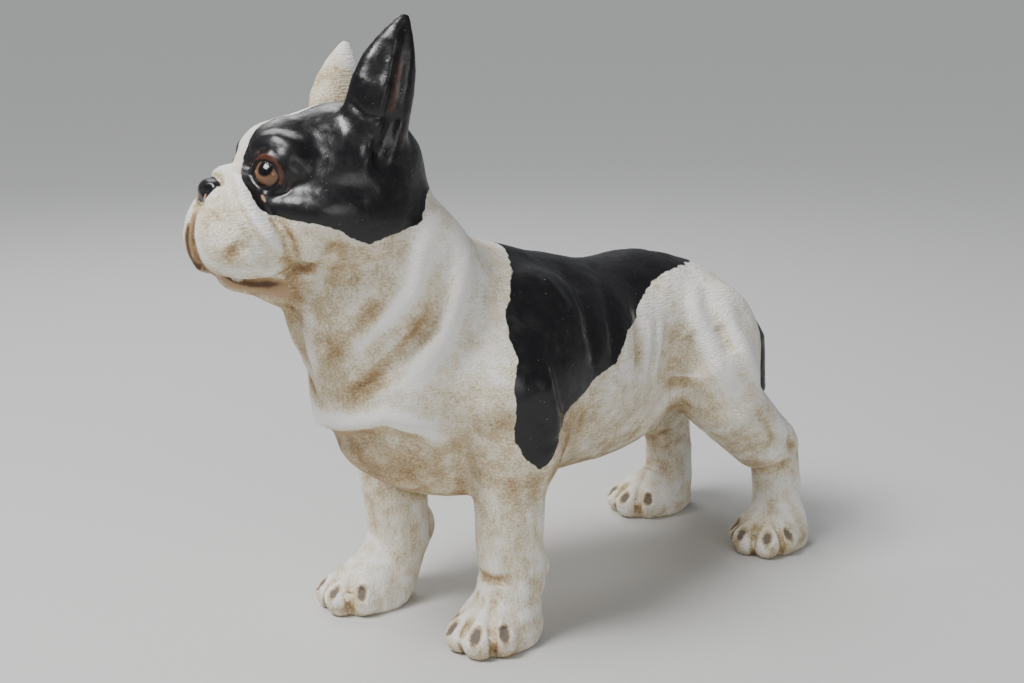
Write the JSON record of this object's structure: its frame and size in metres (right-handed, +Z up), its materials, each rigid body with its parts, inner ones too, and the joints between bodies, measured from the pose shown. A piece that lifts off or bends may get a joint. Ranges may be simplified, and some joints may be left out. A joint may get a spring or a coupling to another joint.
{
  "type": "bulldog garden statue",
  "caption": "Standing bat-eared bulldog cast in one piece, head turned slightly aside, for a garden or a hearth.",
  "frame": {"origin": "centre of the bounding box, on the ground under the statue", "axes": "the dog looks towards -Y, its left side is towards +X, +Z is up, and the paws stand on Z = 0"},
  "size_m": [0.1974, 0.5218, 0.4277],
  "materials": {
    "painted_resin": "cast resin painted antique white with a brown wash, with glossy black patches on the face, ears and back"
  },
  "bodies": {
    "root": {"bulldog_statue": "painted_resin"}
  },
  "joints": []
}
